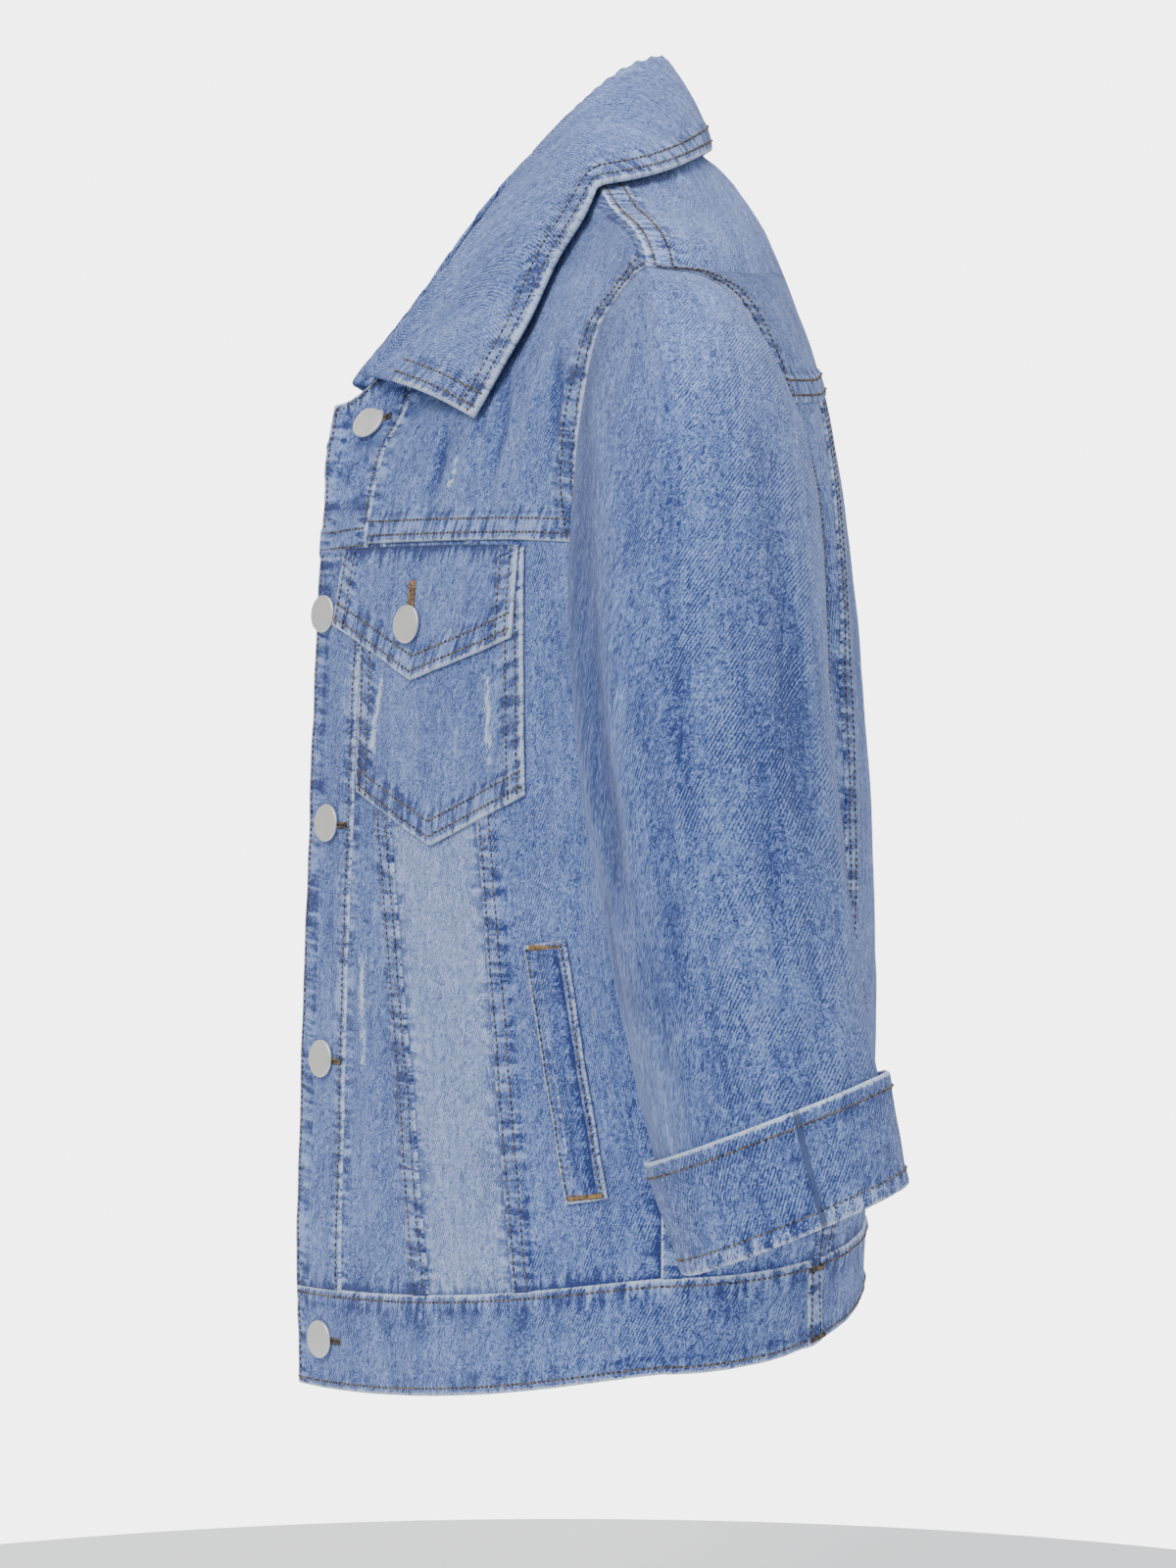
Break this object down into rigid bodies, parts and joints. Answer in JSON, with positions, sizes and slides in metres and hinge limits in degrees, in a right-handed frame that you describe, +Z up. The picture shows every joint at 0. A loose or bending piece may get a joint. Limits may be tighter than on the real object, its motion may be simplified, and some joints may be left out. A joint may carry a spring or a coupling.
{
  "type": "denim jacket",
  "caption": "Cropped denim jacket, filled out as if worn: turned-down collar, buttoned front, flap chest pockets, slanted welts, waistband and turned-up elbow sleeves.",
  "frame": {"origin": "midway between the two points where the collar meets the shoulder seams, where the wearer's shoulders and neck hold the jacket", "axes": "+Z up, -Y to the front of the jacket, +X to the wearer's left"},
  "size_m": [0.668, 0.2586, 0.6058],
  "materials": {
    "denim": "washed mid-blue denim twill",
    "denim_faded": "paler, more worn denim twill",
    "button_metal": "brushed warm silver"
  },
  "bodies": {
    "root": {"front_panel_left": "denim", "front_panel_right": "denim", "side_panel_left": "denim", "side_panel_right": "denim", "back_side_left": "denim", "back_side_right": "denim", "back_centre": "denim", "yoke_back": "denim", "yoke_front_left": "denim", "yoke_front_right": "denim", "placket_left": "denim", "placket_right": "denim", "waistband_left": "denim", "waistband_right": "denim", "waistband_back": "denim", "band_seam_left": "denim", "band_seam_right": "denim", "pocket_left": "denim", "pocket_right": "denim", "flap_left": "denim", "flap_right": "denim", "welt_left": "denim", "welt_right": "denim", "sleeve_upper_left": "denim", "sleeve_upper_right": "denim", "sleeve_under_left": "denim", "sleeve_under_right": "denim", "cuff_left": "denim", "cuff_right": "denim", "collar": "denim", "middle_panel_left": "denim_faded", "middle_panel_right": "denim_faded", "button_collar": "button_metal", "button_chest": "button_metal", "button_middle": "button_metal", "button_waist": "button_metal", "button_band": "button_metal", "button_flap_left": "button_metal", "button_flap_right": "button_metal"}
  },
  "joints": []
}
